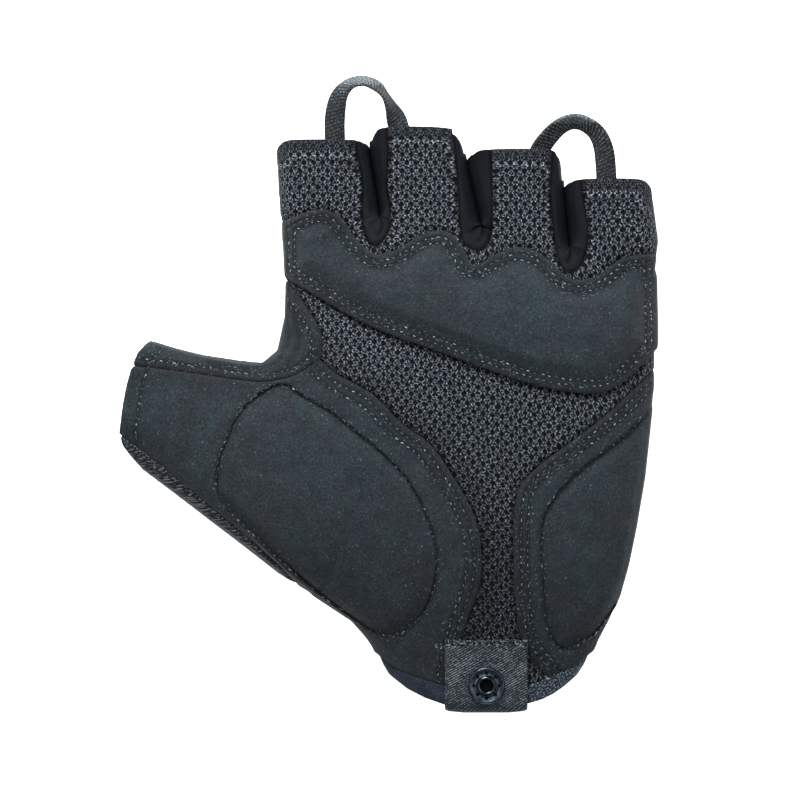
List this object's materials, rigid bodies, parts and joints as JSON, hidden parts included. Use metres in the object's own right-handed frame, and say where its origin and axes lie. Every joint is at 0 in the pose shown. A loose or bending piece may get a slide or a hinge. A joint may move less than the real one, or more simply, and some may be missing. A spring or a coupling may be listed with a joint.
{
  "type": "half-finger cycling glove",
  "caption": "Left half-finger cycling glove lying palm up, with padded suede palm panels, knit mesh, open fingertips and thumb, finger pull loops and a snap tab at the cuff.",
  "frame": {"origin": "on the surface that the glove's back rests on, below the middle of its length and width", "axes": "+X towards the little finger, +Y towards the fingertips, +Z out of the palm"},
  "size_m": [0.1429, 0.1696, 0.0267],
  "materials": {
    "palm_mesh": "grey open knit mesh",
    "back_panel": "plain grey knit",
    "thumb_back": "grey open knit mesh",
    "knuckle_panel": "matte synthetic suede",
    "thumb_panel": "matte synthetic suede",
    "crotch_strip": "matte synthetic suede",
    "heel_panel": "matte synthetic suede",
    "fourchette_index_middle": "smooth stretch lycra",
    "fourchette_middle_ring": "smooth stretch lycra",
    "fourchette_ring_little": "smooth stretch lycra",
    "cuff_binding": "dark navy knitted elastic",
    "snap_tab": "grey woven webbing",
    "snap": "dark gunmetal",
    "loop_index_middle": "ribbed ribbon",
    "loop_ring_little": "ribbed ribbon"
  },
  "bodies": {
    "root": {"palm_mesh": "palm_mesh", "back_panel": "back_panel", "thumb_back": "thumb_back", "knuckle_panel": "knuckle_panel", "thumb_panel": "thumb_panel", "crotch_strip": "crotch_strip", "heel_panel": "heel_panel", "fourchette_index_middle": "fourchette_index_middle", "fourchette_middle_ring": "fourchette_middle_ring", "fourchette_ring_little": "fourchette_ring_little", "cuff_binding": "cuff_binding", "snap_tab": "snap_tab", "snap": "snap", "loop_index_middle": "loop_index_middle", "loop_ring_little": "loop_ring_little"}
  },
  "joints": []
}
